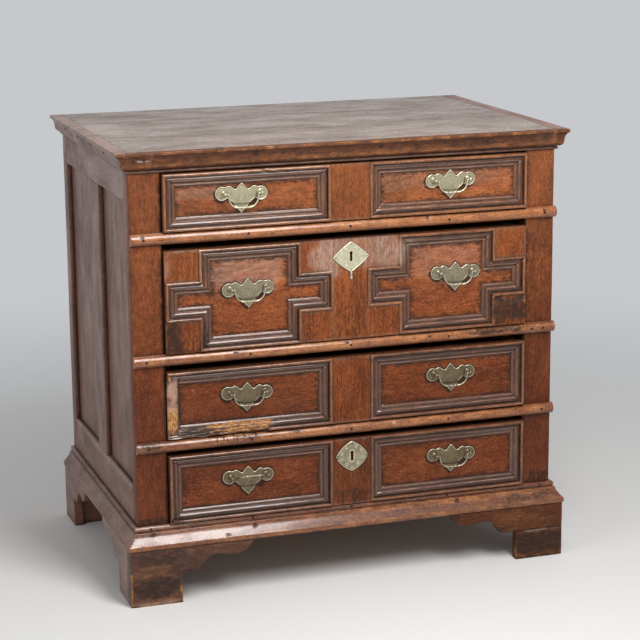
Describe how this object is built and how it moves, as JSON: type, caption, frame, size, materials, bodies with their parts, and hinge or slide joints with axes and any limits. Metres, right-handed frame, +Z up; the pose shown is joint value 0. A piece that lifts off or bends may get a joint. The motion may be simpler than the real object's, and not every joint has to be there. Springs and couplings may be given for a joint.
{
  "type": "chest of drawers",
  "caption": "Joined oak chest of drawers with applied geometric mouldings, brass bail handles, recessed side panels and scrolled bracket feet.",
  "frame": {"origin": "middle of the bounding box, at the floor", "axes": "+X to the right seen from the front, +Y from the front to the back, +Z up"},
  "size_m": [0.954, 0.6517, 0.917],
  "materials": {
    "front_oak": "waxed, worn",
    "moulding_oak": "waxed, rubbed",
    "side_oak": "dry wax, dull",
    "top_oak": "waxed, faded",
    "inner_oak": "bare",
    "brass": "tarnished",
    "iron": "wrought, dark"
  },
  "bodies": {
    "carcass": {"front_stile_left": "front_oak", "front_stile_right": "front_oak", "rear_stiles": "side_oak", "side_top_rails": "side_oak", "side_bottom_rails": "side_oak", "side_muntins": "side_oak", "side_panels": "side_oak", "top_rail": "front_oak", "bottom_rail": "front_oak", "drawer_rails": "front_oak", "back_rails": "side_oak", "back_boards": "side_oak", "top_boards": "top_oak", "cornice_front": "moulding_oak", "cornice_left": "side_oak", "cornice_right": "side_oak", "rail_mouldings": "moulding_oak", "plinth_front": "moulding_oak", "plinth_left": "side_oak", "plinth_right": "side_oak", "foot_front_left": "moulding_oak", "foot_front_right": "moulding_oak", "foot_rear_left": "moulding_oak", "foot_rear_right": "moulding_oak", "drawer_runners": "inner_oak", "nails": "iron"},
    "drawer_1": {"drawer_1_front": "front_oak", "drawer_1_mouldings": "front_oak", "drawer_1_box": "inner_oak", "drawer_1_bottom": "inner_oak", "drawer_1_handle_plates": "brass"},
    "drawer_2": {"drawer_2_front": "front_oak", "drawer_2_mouldings": "front_oak", "drawer_2_box": "inner_oak", "drawer_2_bottom": "inner_oak", "drawer_2_handle_plates": "brass", "escutcheon_2": "brass", "lock_2": "iron"},
    "drawer_3": {"drawer_3_front": "front_oak", "drawer_3_mouldings": "front_oak", "drawer_3_box": "inner_oak", "drawer_3_bottom": "inner_oak", "drawer_3_handle_plates": "brass"},
    "drawer_4": {"drawer_4_front": "front_oak", "drawer_4_mouldings": "front_oak", "drawer_4_box": "inner_oak", "drawer_4_bottom": "inner_oak", "drawer_4_handle_plates": "brass", "escutcheon_4": "brass", "lock_4": "iron"},
    "bolt_2": {"bolt_2": "iron"},
    "bolt_4": {"bolt_4": "iron"},
    "bail_1_left": {"bail_1_left": "brass"},
    "bail_1_right": {"bail_1_right": "brass"},
    "bail_2_left": {"bail_2_left": "brass"},
    "bail_2_right": {"bail_2_right": "brass"},
    "bail_3_left": {"bail_3_left": "brass"},
    "bail_3_right": {"bail_3_right": "brass"},
    "bail_4_left": {"bail_4_left": "brass"},
    "bail_4_right": {"bail_4_right": "brass"}
  },
  "joints": [
    {"name": "drawer_1_slide", "type": "slide", "parent": "carcass", "child": "drawer_1", "axis": [0, -1, 0], "range_m": [0, 0.42]},
    {"name": "drawer_2_slide", "type": "slide", "parent": "carcass", "child": "drawer_2", "axis": [0, -1, 0], "range_m": [0, 0.42]},
    {"name": "drawer_3_slide", "type": "slide", "parent": "carcass", "child": "drawer_3", "axis": [0, -1, 0], "range_m": [0, 0.42]},
    {"name": "drawer_4_slide", "type": "slide", "parent": "carcass", "child": "drawer_4", "axis": [0, -1, 0], "range_m": [0, 0.42]},
    {"name": "bolt_2_slide", "type": "slide", "parent": "drawer_2", "child": "bolt_2", "axis": [0, 0, 1], "range_m": [0, 0.02]},
    {"name": "bolt_4_slide", "type": "slide", "parent": "drawer_4", "child": "bolt_4", "axis": [0, 0, 1], "range_m": [0, 0.016]},
    {"name": "bail_1_left_swing", "type": "hinge", "parent": "drawer_1", "child": "bail_1_left", "pos_m": [-0.223, -0.29908, 0.826], "axis": [-1, 0, 0], "range_deg": [-24, 175]},
    {"name": "bail_1_right_swing", "type": "hinge", "parent": "drawer_1", "child": "bail_1_right", "pos_m": [0.219, -0.29908, 0.826], "axis": [-1, 0, 0], "range_deg": [-24, 175]},
    {"name": "bail_2_left_swing", "type": "hinge", "parent": "drawer_2", "child": "bail_2_left", "pos_m": [-0.213, -0.29908, 0.634], "axis": [-1, 0, 0], "range_deg": [-24, 175]},
    {"name": "bail_2_right_swing", "type": "hinge", "parent": "drawer_2", "child": "bail_2_right", "pos_m": [0.231, -0.29908, 0.634], "axis": [-1, 0, 0], "range_deg": [-24, 175]},
    {"name": "bail_3_left_swing", "type": "hinge", "parent": "drawer_3", "child": "bail_3_left", "pos_m": [-0.2185, -0.29908, 0.421], "axis": [-1, 0, 0], "range_deg": [-24, 175]},
    {"name": "bail_3_right_swing", "type": "hinge", "parent": "drawer_3", "child": "bail_3_right", "pos_m": [0.222, -0.29908, 0.421], "axis": [-1, 0, 0], "range_deg": [-24, 175]},
    {"name": "bail_4_left_swing", "type": "hinge", "parent": "drawer_4", "child": "bail_4_left", "pos_m": [-0.219, -0.29908, 0.246], "axis": [-1, 0, 0], "range_deg": [-137, 62]},
    {"name": "bail_4_right_swing", "type": "hinge", "parent": "drawer_4", "child": "bail_4_right", "pos_m": [0.224, -0.29908, 0.246], "axis": [-1, 0, 0], "range_deg": [-24, 175]}
  ]
}
